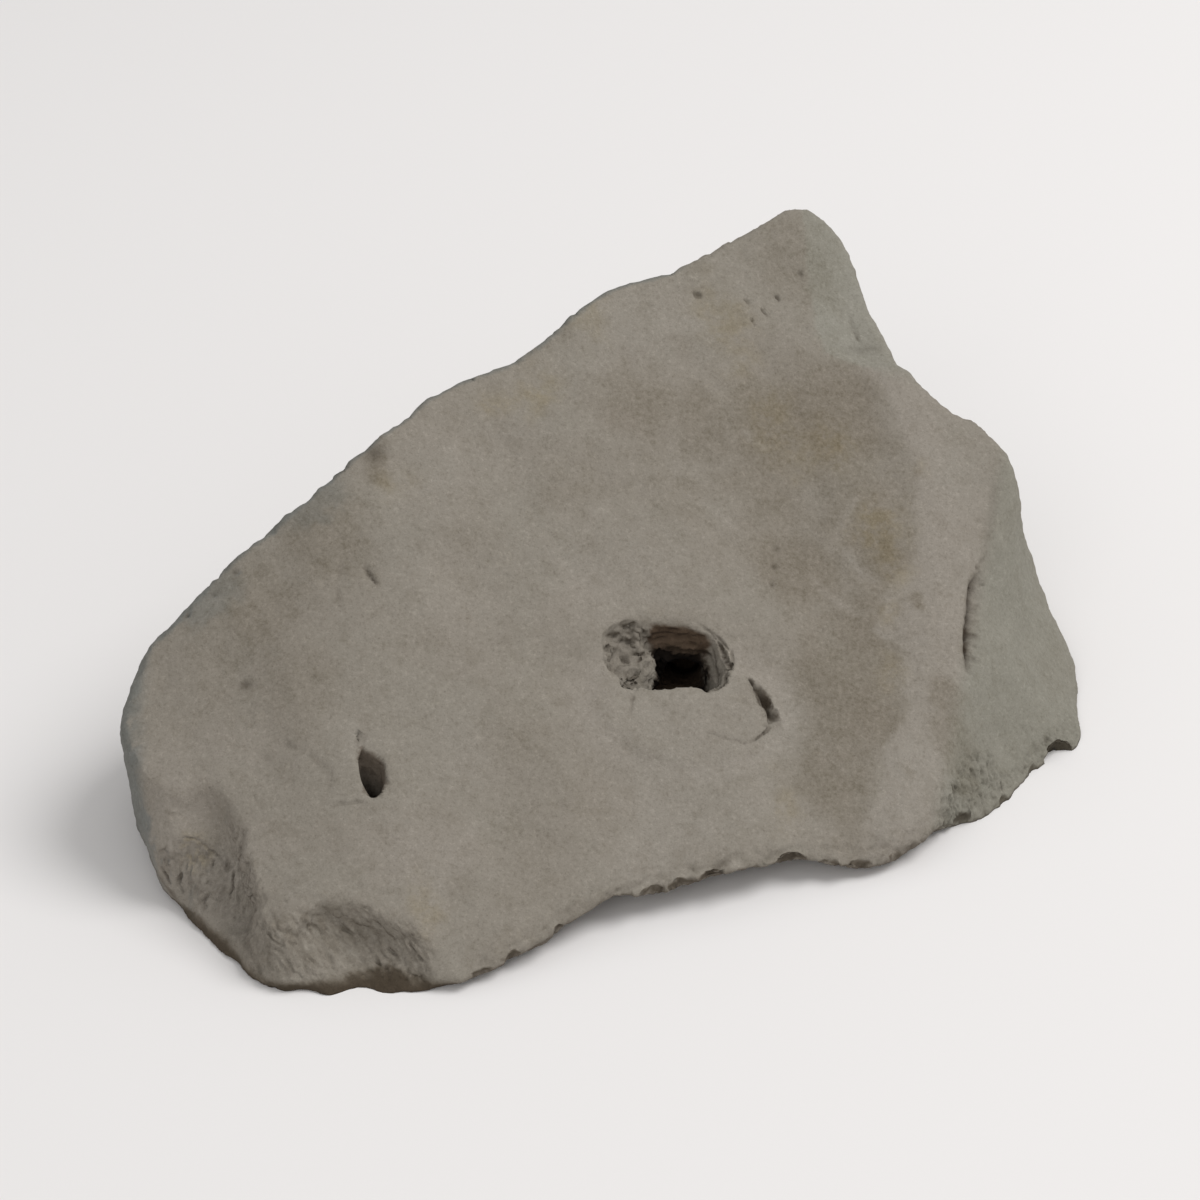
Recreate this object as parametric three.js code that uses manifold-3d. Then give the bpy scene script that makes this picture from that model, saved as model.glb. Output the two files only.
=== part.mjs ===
// A moon rock: one loose wedge-shaped boulder that rests on its broken, flat underside.
// Units are millimetres and +Z is up. The big smooth face looks to the front (-Y) and up:
// it rises from a low chipped front edge to a crest at the back, with its peak at the
// right. Steep broken walls run down from the crest to the foot all the way round.
// Two pits open on the face: a large one with a cave behind it, and a small slot.
// The origin is on the ground, under the middle of the rock's box.
import * as THREE from 'three';
import { mergeVertices } from 'three/addons/utils/BufferGeometryUtils.js';
import { ImprovedNoise } from 'three/addons/math/ImprovedNoise.js';
import Module from 'manifold-3d';

const { clamp, degToRad, lerp, smoothstep } = THREE.MathUtils;

// ---- Driving dimensions: the big face -----------------------------------------------------
const FACE_CENTRE = new THREE.Vector2(0, -10); // every point of the crest can be seen from here
const FACE_LEVEL = 67;        // height of the face's main plane over the plan origin
const FACE_RISE = 0.61;       // how steeply it climbs towards the back
const FACE_LEAN = -0.24;      // and towards the right, where it falls a little
const LEFT_FOLD_X = -80;      // left of here the face folds down ...
const LEFT_FOLD_FALL = 0.42;  // ... this much more steeply
const FOLD_SOFTNESS = 14;     // width of the rounding along the fold
const CREST_BLEND = 3.2;      // how close to the crest the face keeps to its own plane

// Low swells (+) and dishes (-) on the face: x, y of the middle, half width, height.
const SWELLS = [
  [58, 20, 34, -2.6],         // the wide dish right of the middle
  [96, 12, 17, 2.2],          // the ridge along the right side
  [27, -41, 15, 2.0],         // the pad under the large pit
  [46, -33, 8, 1.2],          // and its right end
  [-62, -92, 24, 1.6],        // the swell at the lower left
  [80, 96, 12, -2.0],         // the bevel right of the peak
];

// ---- Driving dimensions: the outline ------------------------------------------------------
// Round the rock from the front, to the right, the back and the left. Each row is the
// crest (x, y, z), the foot of the wall under it (x, y), and the wall's bow halfway down,
// outwards where it is positive.
const OUTLINE = [
  [-46, -122, 4, -47, -119, 0],
  [-33, -117, 5, -34, -108, 0],
  [-17, -107, 7, -16, -90, 0],
  [-4, -95, 10, -3, -76, 0],
  [14, -89, 10, 15, -70, 0],
  [33, -83, 10, 33, -68, 0],
  [47, -77, 10, 47, -60, 0],
  [57, -74, 10, 57, -58, 0],
  [68, -75, 6, 67, -62, 0],
  [77, -72, 5, 77, -66, 0],
  [88, -66, 6, 89, -59, 0],
  [98, -58, 9, 101, -49, 0],
  [102, -47, 14, 114, -44, 0],
  [105, -34, 21, 126, -31, -1],
  [109, -20, 29, 138, -15, -2],
  [113, 1, 41, 148, -8, -3],
  [117, 22, 53, 152, 8, -3],
  [124, 38, 62, 155, 25, -3],
  [131, 54, 71, 152, 50, -4],
  [119, 64, 78, 144, 74, 2],
  [107, 68, 82, 132, 98, 6],
  [89, 83, 96, 112, 114, 8],
  [78, 114, 117, 94, 126, 7],
  [73, 121, 123, 82, 132, 6],
  [65, 123, 127, 68, 135, 7],
  [54, 118, 127, 54, 136, 9],
  [40, 107, 122, 38, 132, 11],
  [17, 91, 119, 14, 120, 12],
  [-5, 78, 117, -8, 106, 12],
  [-32, 53, 107, -36, 88, 13],
  [-58, 36, 103, -62, 70, 13],
  [-74, 20, 97, -84, 52, 12],
  [-97, 1, 85, -108, 30, 10],
  [-125, -16, 68, -134, 4, 8],
  [-141, -31, 57, -147, -20, 5],
  [-147, -52, 43, -146, -44, 1],
  [-140, -67, 34, -139, -67, 1],
  [-130, -73, 33, -133, -81, 3],
  [-118, -76, 33, -125, -92, 0],
  [-108, -93, 25, -115, -105, -3],
  [-102, -110, 15, -105, -115, -1],
  [-94, -114, 15, -96, -121, 0],
  [-86, -107, 20, -84, -122, -2],
  [-66, -109, 17, -66, -121, -3],
  [-54, -116, 9, -56, -121, -1],
];

// ---- Driving dimensions: the walls --------------------------------------------------------
// Flat breaks on the walls that face the back: a point on each, the way it faces seen from
// above (degrees from +X towards +Y), and how far it looks up (degrees).
const BREAKS = [
  [142, 76, 30, 32, 14],
  [90, 124, 60, 62, 6],
  [40, 128, 62, 106, 11],
  [-14, 104, 62, 128, 17],
  [-48, 84, 28, 113, -5],
  [-88, 40, 52, 133, 18],
  [-120, 20, 26, 142, -6],
  [-145, -14, 30, 164, 8],
  [60, 136, 10, 97, -34],
  [-82, 56, 10, 128, -38],
];

// Round hollows in the walls: the middle, the half width and the depth.
const HOLLOWS = [
  [26, 118, 84, 20, 5],
  [-66, 62, 46, 22, 5],
  [126, 88, 44, 17, 4],
  [-22, 104, 26, 17, 4],
  [86, 126, 34, 14, 3],
  [-124, -2, 44, 13, 3],
];

// ---- Driving dimensions: the pits ---------------------------------------------------------
// The large pit: its mouth on the face, seen from above, and the throat that the mouth
// narrows to a little way down. Its left side is a long slope and its back is sheer.
const MOUTH = [
  [-4, -28], [-3, -23], [1, -19], [6, -16], [12, -15], [20, -14], [27, -14.5], [32, -17],
  [36, -24], [34, -28], [30, -31], [26, -31.5], [19, -32], [12, -33.5], [8, -34], [4, -35],
  [0, -33],
];
const THROAT = { left: 12, right: 28.5, front: -33, back: -14.5, reach: 15 };
const PIT_FLOOR = 25;         // height of the pit's floor over the ground
const CAVE_FROM = new THREE.Vector3(20.5, -27, 37);
const CAVE_TO = new THREE.Vector3(23, 17, 23);
const CAVE_RADIUS = 9;
const CAVE_END_RADIUS = 6;

// The small pit: a sheer slot, seen from above.
const SLOT = [
  [-76, -67], [-73.5, -65.5], [-71.5, -66.5], [-67.5, -69], [-67, -72], [-67, -75.5],
  [-69.3, -78], [-71.8, -78.5], [-72.5, -76], [-74, -73.5], [-74.8, -70],
];
const SLOT_FLOOR = 19;
const ABOVE_FACE = 75;        // the cutting shapes end here, over the face

// ---- Facets of the mesh -------------------------------------------------------------------
const FACE_STEPS = 44;
const WALL_STEPS = 8;
const CUT_STEPS = 12;
const CAVE_SIDES = 14;
const SOLE_DEPTH = 6;         // the rough block reaches this far below the ground before the cut
const LEAST_SLANT = 0.3;      // a break leaves the walls alone that look further away from it
const GRAIN = { size: 24, height: 2.0 };      // the lumps that cover the whole rock
const PIT_GRAIN = { size: 5, height: 1.1 };   // the finer ones inside the pits

const wasm = await Module();
wasm.setup();

function toSolid(geometry) {
  const bare = geometry.clone();
  bare.deleteAttribute('normal');
  bare.deleteAttribute('uv');
  const merged = mergeVertices(bare, 1e-3);
  return new wasm.Manifold(new wasm.Mesh({
    numProp: 3,
    vertProperties: new Float32Array(merged.attributes.position.array),
    triVerts: new Uint32Array(merged.index.array),
  }));
}

function toGeometry(solid) {
  const mesh = solid.getMesh();
  const geometry = new THREE.BufferGeometry();
  geometry.setAttribute('position', new THREE.BufferAttribute(mesh.vertProperties, 3));
  geometry.setIndex(new THREE.BufferAttribute(mesh.triVerts, 1));
  geometry.computeVertexNormals();
  return geometry;
}

// Moves every vertex of a geometry to where place(point) says.
function mould(geometry, place) {
  const position = geometry.attributes.position;
  const point = new THREE.Vector3();
  for (let i = 0; i < position.count; i++) {
    place(point.fromBufferAttribute(position, i));
    position.setXYZ(i, point.x, point.y, point.z);
  }
  return geometry;
}

const noise = new ImprovedNoise();

function roughen(point, grain) {
  const [x, y, z] = point.toArray().map((value) => value / grain.size);
  const lump = new THREE.Vector3(
    noise.noise(x, y, z + 7.3), noise.noise(x + 5.1, y, z), noise.noise(x, y + 9.7, z));
  point.addScaledVector(lump, grain.height);
}

// ---- The rough block ----------------------------------------------------------------------
const crest = new THREE.CatmullRomCurve3(
  OUTLINE.map(([x, y, z]) => new THREE.Vector3(x, y, z)), true);
const foot = new THREE.CatmullRomCurve3(
  OUTLINE.map(([, , , x, y, bow]) => new THREE.Vector3(x, y, bow)), true); // z holds the bow

// The lower of two heights, rounded where they cross.
function softMin(a, b, softness) {
  const share = clamp(0.5 + (b - a) / (2 * softness), 0, 1);
  return lerp(b, a, share) - softness * share * (1 - share);
}

function facePlane(x, y) {
  const main = FACE_LEVEL + FACE_RISE * y + FACE_LEAN * x;
  const folded = main + LEFT_FOLD_FALL * (x - LEFT_FOLD_X);
  return softMin(main, folded, FOLD_SOFTNESS * LEFT_FOLD_FALL);
}

function swell(x, y) {
  return SWELLS.reduce((sum, [atX, atY, width, height]) => (
    sum + height * Math.exp(-((x - atX) ** 2 + (y - atY) ** 2) / width ** 2)), 0);
}

// A square block is rolled into a round one: a point of the square's top becomes a turn
// round the rock (0 to 1, from the front) and a reach from its middle (0) to its rim (1).
function turnAndReach(a, b) {
  if (a === 0 && b === 0) return [0, 0];
  const wide = Math.abs(a) > Math.abs(b);
  const eighths = (wide ? b / a : 2 - a / b) + ((wide ? a : b) < 0 ? 4 : 0);
  return [((eighths + 10) % 8) / 8, Math.max(Math.abs(a), Math.abs(b))];
}

function faceHeight(rim, reach, x, y) {
  const lift = rim.z - facePlane(rim.x, rim.y);
  return facePlane(x, y) + lift * reach ** CREST_BLEND + swell(x, y) * (1 - reach ** 8);
}

function direction(around, up) {
  const [turn, tilt] = [degToRad(around), degToRad(up)];
  return new THREE.Vector3(
    Math.cos(turn) * Math.cos(tilt), Math.sin(turn) * Math.cos(tilt), Math.sin(tilt));
}

const breaks = BREAKS.map(([x, y, z, around, up]) => ({
  at: new THREE.Vector3(x, y, z), facing: direction(around, up),
}));

// Cuts a wall point back level to the breaks, and sinks it into the hollows. out is the
// way the wall looks there.
function breakWall(point, out) {
  for (const { at, facing } of breaks) {
    const proud = point.clone().sub(at).dot(facing);
    const slant = out.dot(facing);
    if (proud > 0 && slant > LEAST_SLANT) point.addScaledVector(out, -proud / slant);
  }
  for (const [x, y, z, width, depth] of HOLLOWS) {
    const away = point.distanceTo(new THREE.Vector3(x, y, z)) / width;
    point.addScaledVector(out, -depth * Math.exp(-(away ** 2)));
  }
}

function toBoulder(point) {
  const [turn, reach] = turnAndReach(point.x, point.y);
  const along = crest.getUtoTmapping(turn);
  const rim = crest.getPoint(along);
  const base = foot.getPoint(along);
  const down = 0.5 - point.z;
  if (down === 0) {
    const x = lerp(FACE_CENTRE.x, rim.x, reach);
    const y = lerp(FACE_CENTRE.y, rim.y, reach);
    point.set(x, y, faceHeight(rim, reach, x, y));
  } else {
    const z = lerp(rim.z, -SOLE_DEPTH, down);
    const share = Math.min(1, 1 - z / rim.z);
    const out = new THREE.Vector3(base.x - FACE_CENTRE.x, base.y - FACE_CENTRE.y, 0).normalize();
    point.set(lerp(rim.x, base.x, share), lerp(rim.y, base.y, share), z);
    point.addScaledVector(out, base.z * Math.sin(Math.PI * share));
    breakWall(point, out);
    point.x = lerp(FACE_CENTRE.x, point.x, reach);
    point.y = lerp(FACE_CENTRE.y, point.y, reach);
  }
  roughen(point, GRAIN);
}

// A box's sides are split in squares of two triangles. Each square is split again along
// its shorter diagonal, so that none of them folds where the block's corners were.
function splitShort(geometry) {
  const { index, attributes: { position } } = geometry;
  const corner = (i) => new THREE.Vector3().fromBufferAttribute(position, i);
  for (let i = 0; i < index.count; i += 6) {
    const [a, b, d, , c] = index.array.slice(i, i + 6);
    if (corner(a).distanceTo(corner(c)) < corner(b).distanceTo(corner(d))) {
      index.array.set([a, b, c, a, c, d], i);
    }
  }
  return geometry;
}

function roughBlock() {
  const block = new THREE.BoxGeometry(2, 2, 1, FACE_STEPS, FACE_STEPS, WALL_STEPS);
  return toSolid(splitShort(mould(block, toBoulder)));
}

function groundSlab() {
  return toSolid(new THREE.BoxGeometry(400, 400, 40).translate(0, 0, -20));
}

// ---- The pits -----------------------------------------------------------------------------
function prism(outline, floor) {
  const shape = new THREE.Shape(outline.map(([x, y]) => new THREE.Vector2(x, y)));
  const depth = ABOVE_FACE - floor;
  const geometry = new THREE.ExtrudeGeometry(shape, {
    depth, steps: CUT_STEPS, bevelEnabled: false,
  });
  return geometry.translate(0, 0, floor);
}

function largePit() {
  const pit = mould(prism(MOUTH, PIT_FLOOR), (point) => {
    const sunk = clamp((facePlane(point.x, point.y) - point.z) / THROAT.reach, 0, 1);
    point.x = lerp(point.x, clamp(point.x, THROAT.left, THROAT.right), sunk);
    point.y = lerp(point.y, clamp(point.y, THROAT.front, THROAT.back), sunk);
    roughen(point, PIT_GRAIN);
  });
  return toSolid(pit);
}

// A tapering drift that leads back and down from the large pit, round at its far end.
function cave() {
  const length = CAVE_FROM.distanceTo(CAVE_TO);
  const profile = [new THREE.Vector2(0, 0), new THREE.Vector2(CAVE_RADIUS, 0)];
  for (let step = 1; step < CUT_STEPS; step++) {
    const share = step / CUT_STEPS;
    const radius = lerp(CAVE_RADIUS, CAVE_END_RADIUS, share) * (1 - smoothstep(share, 0.8, 1.4));
    profile.push(new THREE.Vector2(radius, length * share));
  }
  profile.push(new THREE.Vector2(0, length));
  const drift = new THREE.LatheGeometry(profile, CAVE_SIDES);
  const heading = CAVE_TO.clone().sub(CAVE_FROM).normalize();
  drift.applyQuaternion(new THREE.Quaternion().setFromUnitVectors(
    new THREE.Vector3(0, 1, 0), heading));
  drift.translate(...CAVE_FROM);
  return toSolid(mould(drift, (point) => roughen(point, PIT_GRAIN)));
}

function slot() {
  return toSolid(mould(prism(SLOT, SLOT_FLOOR), (point) => roughen(point, PIT_GRAIN)));
}

// ---- The finished rock --------------------------------------------------------------------
function centred(geometry) {
  geometry.computeBoundingBox();
  const middle = geometry.boundingBox.getCenter(new THREE.Vector3());
  return geometry.translate(-middle.x, -middle.y, 0);
}

const stone = new THREE.MeshStandardMaterial({
  color: 0x8a8378, roughness: 0.92, metalness: 0,
});

const solid = roughBlock()
  .subtract(groundSlab())
  .subtract(largePit())
  .subtract(cave())
  .subtract(slot());
const rock = new THREE.Mesh(centred(toGeometry(solid)), stone);
rock.name = 'rock';

const group = new THREE.Group();
group.add(rock);

export default group;
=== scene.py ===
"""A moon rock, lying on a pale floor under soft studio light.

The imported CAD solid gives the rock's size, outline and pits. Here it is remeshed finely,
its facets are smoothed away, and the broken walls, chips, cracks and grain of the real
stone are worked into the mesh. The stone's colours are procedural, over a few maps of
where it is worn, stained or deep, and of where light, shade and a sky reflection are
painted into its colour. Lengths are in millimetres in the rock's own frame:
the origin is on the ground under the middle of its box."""

import math
from itertools import product

import bmesh
import bpy
import numpy as np
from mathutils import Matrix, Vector


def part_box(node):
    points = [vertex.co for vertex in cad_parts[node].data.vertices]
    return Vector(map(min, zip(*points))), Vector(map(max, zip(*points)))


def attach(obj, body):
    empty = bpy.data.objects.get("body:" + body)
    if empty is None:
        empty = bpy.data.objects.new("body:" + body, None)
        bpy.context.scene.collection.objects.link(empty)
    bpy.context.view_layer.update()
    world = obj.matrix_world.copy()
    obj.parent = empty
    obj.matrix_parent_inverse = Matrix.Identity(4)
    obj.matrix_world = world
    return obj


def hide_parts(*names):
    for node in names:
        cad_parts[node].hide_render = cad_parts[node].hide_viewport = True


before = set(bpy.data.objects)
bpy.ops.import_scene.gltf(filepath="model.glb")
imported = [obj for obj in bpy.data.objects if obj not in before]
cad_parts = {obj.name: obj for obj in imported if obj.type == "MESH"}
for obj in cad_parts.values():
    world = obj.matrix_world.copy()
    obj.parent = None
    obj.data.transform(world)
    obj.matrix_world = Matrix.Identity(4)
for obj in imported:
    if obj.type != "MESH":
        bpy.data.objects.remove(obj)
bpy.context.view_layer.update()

MM = 0.001
LOW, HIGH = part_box("rock")
MIDDLE = (LOW + HIGH) / 2

# ---- Driving sizes ----
CAMERA_LIFT = math.radians(35)
CAMERA_AWAY = 888 * MM      # from the point that it looks at
CAMERA_LENS = 85
AIM = Vector((MIDDLE.x - 5.9 * MM, MIDDLE.y - 3.5 * MM, LOW.z + 50 * MM))

VOXEL = 0.8                 # size of the squares of the first fine mesh
MOST_TRIANGLES = 190000     # the finished mesh is thinned to this many
FACE_LEVEL = 70.9           # height of the face's main plane over the origin
FACE_RISE = 0.61            # how steeply it climbs towards the back
FACE_LEAN = -0.24           # and towards the right, where it falls a little
FACE_SLOPE = np.array([-FACE_LEAN, -FACE_RISE, 1])
FACE_SLOPE /= np.linalg.norm(FACE_SLOPE)
PIT_SIDE = np.array([-0.41, -0.41, 0.82])     # the way the right side of the large pit looks
LOBE_SIDE = np.array([0.25, -0.55, 0.80])     # and the lump at its left
SCOOP_SIDE = np.array([-0.50, -0.75, 0.43])   # and the torn hollows at the left


# ---- Numbers at every point ----
rolls = np.random.RandomState(11)
SHUFFLE = np.tile(rolls.permutation(256), 2)
SLOPES = rolls.normal(size=(3, 256))
SLOPES /= np.linalg.norm(SLOPES, axis=0)


def scatter(cell, step):
    """A random number, from 0 to 255, for the cell that lies one step from each cell."""
    x, y, z = [(cell[axis] + step[axis]) & 255 for axis in range(3)]
    return SHUFFLE[SHUFFLE[SHUFFLE[x] + y] + z]


def noise_at(points, size, seed=0):
    """Smooth random lumps about size across, from about -1 to 1."""
    place = (points / size + seed * 17.31).T
    cell = np.floor(place).astype(int)
    inside = place - cell
    blend = inside ** 3 * (inside * (inside * 6 - 15) + 10)
    total = np.zeros(len(points))
    for corner in product((0, 1), repeat=3):
        slope = SLOPES[:, scatter(cell, corner)]
        value = sum((inside[axis] - corner[axis]) * slope[axis] for axis in range(3))
        for axis in range(3):
            value *= blend[axis] if corner[axis] else 1 - blend[axis]
        total += value
    return total * 1.7


def rough(points, size, octaves=3, seed=0, fade=0.5):
    """Lumps on lumps: each octave is half the size of the one before."""
    return sum(fade ** step * noise_at(points, size / 2 ** step, seed + step)
               for step in range(octaves))


def ridged(points, size, octaves=3, seed=0):
    """Rounded lumps with sharp creases between them, from 0 in a crease to about 1."""
    return sum(0.5 ** step * np.abs(noise_at(points, size / 2 ** step, seed + step))
               for step in range(octaves)) * 1.4


def shards(points, size, seed=0):
    """A different height and tilt for each of many angular chunks about size across."""
    place = (points / size + seed * 17.31).T
    cell = np.floor(place).astype(int)
    nearest = np.full(len(points), np.inf)
    height = np.zeros(len(points))
    for step in product((-1, 0, 1), repeat=3):
        pick = scatter(cell, step)
        gap = place - cell - np.reshape(step, (3, 1)) - 0.5 - 0.45 * SLOPES[:, pick]
        away = (gap ** 2).sum(0)
        nearer = away < nearest
        nearest[nearer] = away[nearer]
        tilted = (gap * SLOPES[:, SHUFFLE[pick + 1]]).sum(0) + 0.5 * SLOPES[0, pick]
        height[nearer] = tilted[nearer]
    return height


def where(chosen, points, make):
    """The values that make(points) gives where chosen is true, and 0 elsewhere."""
    values = np.zeros(len(points))
    values[chosen] = make(points[chosen])
    return values


def ramp(value, start, end):
    """0 before start, 1 after end, and smooth between them. start may be the larger one."""
    share = np.clip((value - start) / (end - start), 0, 1)
    return share * share * (3 - 2 * share)


def bell(value, width):
    """1 where value is 0, fading out over about width on both sides."""
    return np.exp(-(value / width) ** 2)


def spot(points, middle, width):
    """1 at the middle, fading out over about width."""
    return np.exp(-((points - middle) ** 2).sum(1) / width ** 2)


def along_line(points, line):
    """The place on a line through some points that is nearest to each point: how far away it
    is, how far along the line (0 to 1), and the step from it to the point."""
    line = np.array(line, float)
    lengths = np.linalg.norm(np.diff(line, axis=0), axis=1)
    starts = np.concatenate([[0], np.cumsum(lengths)])
    away = np.full(len(points), np.inf)
    along = np.zeros(len(points))
    step = np.zeros((len(points), 3))
    for begin, end, start, length in zip(line, line[1:], starts, lengths):
        part = np.clip((points - begin) @ (end - begin) / length ** 2, 0, 1)
        gap = points - begin - part[:, None] * (end - begin)
        distance = np.linalg.norm(gap, axis=1)
        nearer = distance < away
        away[nearer] = distance[nearer]
        along[nearer] = (start + part[nearer] * length) / starts[-1]
        step[nearer] = gap[nearer]
    return away, along, step


def from_line(points, line):
    """How far each point is from a line through some points."""
    return along_line(points, line)[0]


def on_plane(points, facing):
    """Drops points onto the plane through the origin that looks the given way."""
    return points - np.outer(points @ facing, facing)


def stretched(points, direction, factor):
    """Squeezes space along a direction, so that noise there comes out as long streaks."""
    direction = np.array(direction, float) / np.linalg.norm(direction)
    return points + np.outer(points @ direction, direction) * (1 / factor - 1)


# ---- Mesh tools ----
def link(name, data):
    """Makes an object of a mesh, a camera or a lamp, and puts it in the scene."""
    obj = bpy.data.objects.new(name, data)
    bpy.context.scene.collection.objects.link(obj)
    return obj


def with_modifier(obj, kind, **settings):
    """Applies one modifier to a mesh object, and gives the object its new mesh."""
    modifier = obj.modifiers.new(kind.lower(), kind)
    for name, value in settings.items():
        setattr(modifier, name, value)
    graph = bpy.context.evaluated_depsgraph_get()
    mesh = bpy.data.meshes.new_from_object(obj.evaluated_get(graph))
    obj.modifiers.clear()
    obj.data = mesh


def rows_of(items, name, width, kind=np.float32):
    """One row for each of a mesh's points or edges."""
    flat = np.empty(len(items) * width, kind)
    items.foreach_get(name, flat)
    return flat.reshape(-1, width)


def points_of(mesh):
    return rows_of(mesh.vertices, "co", 3).astype(float) / MM


def normals_of(mesh):
    return rows_of(mesh.vertices, "normal", 3).astype(float)


def move_points(mesh, points):
    mesh.vertices.foreach_set("co", (points * MM).astype(np.float32).ravel())
    mesh.update()


def smooth(mesh, rounds, crease=None, share=1.0):
    """Pulls each point towards its neighbours, by its own share, but hardly across an edge
    that is sharper than crease."""
    points = points_of(mesh)
    share = np.broadcast_to(share, len(points))
    ends = rows_of(mesh.edges, "vertices", 2, np.int32)
    a, b = ends[share[ends].max(1) > 0.02].T
    for _ in range(rounds):
        pull = np.ones(len(a))
        if crease:
            normals = normals_of(mesh)
            bend = 1 - (normals[a] * normals[b]).sum(1)
            pull = np.exp(-((bend / crease) ** 2)) + 1e-4
        weight = np.bincount(a, pull, len(points)) + np.bincount(b, pull, len(points))
        for axis in range(3):
            total = np.bincount(a, pull * points[b, axis], len(points))
            total += np.bincount(b, pull * points[a, axis], len(points))
            step_to = total / np.maximum(weight, 1e-9) - points[:, axis]
            points[:, axis] += np.where(weight > 0, 0.5 * share * step_to, 0)
        if crease:
            move_points(mesh, points)
    move_points(mesh, points)


def refine(mesh, chosen):
    """Halves the squares of a mesh where all the corners are chosen."""
    work = bmesh.new()
    work.from_mesh(mesh)
    edges = [edge for edge in work.edges
             if chosen[edge.verts[0].index] and chosen[edge.verts[1].index]]
    bmesh.ops.subdivide_edges(work, edges=edges, cuts=1, use_grid_fill=True)
    work.to_mesh(mesh)
    work.free()


class Clay:
    """The rock's surface while it is worked: its points in mm, the way they look, and two
    numbers for each of them: how freshly torn it is, with painted shade in some hollows and
    along the foot added in, and how dirty, with painted shade in its creases, grooves, chips
    and pits added in."""

    def __init__(self, mesh):
        self.mesh = mesh
        self.look()
        self.torn_and_shade = np.zeros(len(self.points))
        self.dirt_and_shade = np.zeros(len(self.points))

    def look(self):
        self.points = points_of(self.mesh)
        self.normals = normals_of(self.mesh)

    def move(self, steps):
        move_points(self.mesh, self.points + steps)
        self.look()

    def raise_by(self, height):
        """Moves the points out along their normals; down where height is negative."""
        self.move(self.normals * height[:, None])

    def shift_by(self, direction, amount):
        self.move(np.outer(amount, direction))

    # Marks freshly torn stone; shade_along and draw_in_foot paint shade with it too.
    def mark_torn_and_shade(self, share):
        self.torn_and_shade = np.maximum(self.torn_and_shade, share)

    # Marks dirt; most callers paint shade with it, in gashes, grooves, chips and pits.
    def mark_dirt_and_shade(self, share):
        self.dirt_and_shade = np.maximum(self.dirt_and_shade, share)


# ---- Where things are on the rock ----
# Lines over the stone are lists of points. Edges that are seen from above are x over y.
RIDGE = [(86, 66, 90), (93, 48, 77), (99, 29, 66), (101, 12, 55), (97, -13, 42), (91, -36, 28),
         (86, -60, 15), (84, -72, 7)]
RIGHT_CREST = [(122, 46, 69), (120, 39, 67), (118, 28, 59), (115, 14, 53), (113, 3, 45),
               (111, -10, 39), (109, -22, 32), (107, -32, 24), (102, -45, 16)]
PEAK_CREST = [(48, 109, 126), (57, 114, 128), (64, 113, 125), (72, 111, 118)]
LEFT_CREST = [(-147, -55, 45), (-143, -37, 59), (-127, -23, 70), (-99, -6, 87), (-76, 13, 98),
              (-60, 29, 104), (-34, 46, 108), (-7, 71, 118), (15, 84, 120)]
PEAK_EDGE_Y = [66, 68, 70, 76, 92, 111, 118]
PEAK_EDGE_X = [84, 74, 66, 63.5, 62, 60, 58]
FOLD = [(122, 46, 69), (120, 31, 62), (117, 17, 53), (113.5, 10, 50)]
GROOVE = [(114, 12, 51), (111.5, 4, 47.5), (110, -5, 43), (109, -13.5, 38.5), (108.5, -21, 33.5)]
LEFT_SCOOP_RIM = [(-124, -75, 38), (-120, -81, 35), (-116, -86, 32.5), (-111, -94.5, 28.3),
                  (-109, -102.5, 23.6), (-105.5, -114, 16.7), (-103, -119, 12)]
LEFT_FOOT = [(-143, -70, 20), (-139, -84, 10), (-131, -95, 3), (-122, -104, 1), (-109, -118, 0)]
SHELL_LEDGE = [(-132, -85.5, 19), (-127, -87.5, 21.5), (-122, -90, 22), (-117, -93, 21)]
FRONT_SCOOP_RIM = [(-95, -111, 23), (-85, -112.8, 19.5), (-78, -114, 16.4), (-69.4, -116, 12.5),
                   (-63.6, -119.7, 8.1), (-57.7, -124, 4.2), (-52, -127, 1)]
PAD = np.array([20, -44, 38.0])
PAD_RADII = (27, 17.5, 17)
PIT = np.array([18, -31, 45.0])
SHELL = np.array([-134, -83, 19.0])
SLOT = np.array([-73.5, -79, 32.0])
SLOT_LEFT = -76.7           # where its left end is
SLOT_TILT = 0.15            # how much less the face leans to the right by the slot
SLOT_OUTLINE = [(-75.9, -72.3, 45.5), (-76.6, -75, 43.8), (-76, -80.5, 40.1), (-74.2, -83.4, 38.4),
                (-72.9, -85.8, 37.2), (-69.8, -84.6, 37.3), (-69, -82.4, 38.5), (-69.5, -76.4, 42)]


def face_share(clay):
    """1 on the big smooth face, 0 on the walls around it."""
    return ramp(clay.normals @ FACE_SLOPE, 0.72, 0.93)


def hidden_share(clay):
    """1 on the broken walls at the back and the undercuts, 0 on what looks to the front."""
    back = ramp(clay.normals[:, 1], 0.25, 0.6)
    under = ramp(clay.normals[:, 2], -0.1, -0.4)
    return np.maximum(back, under) * ramp(clay.points[:, 2], 0.5, 4)


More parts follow.
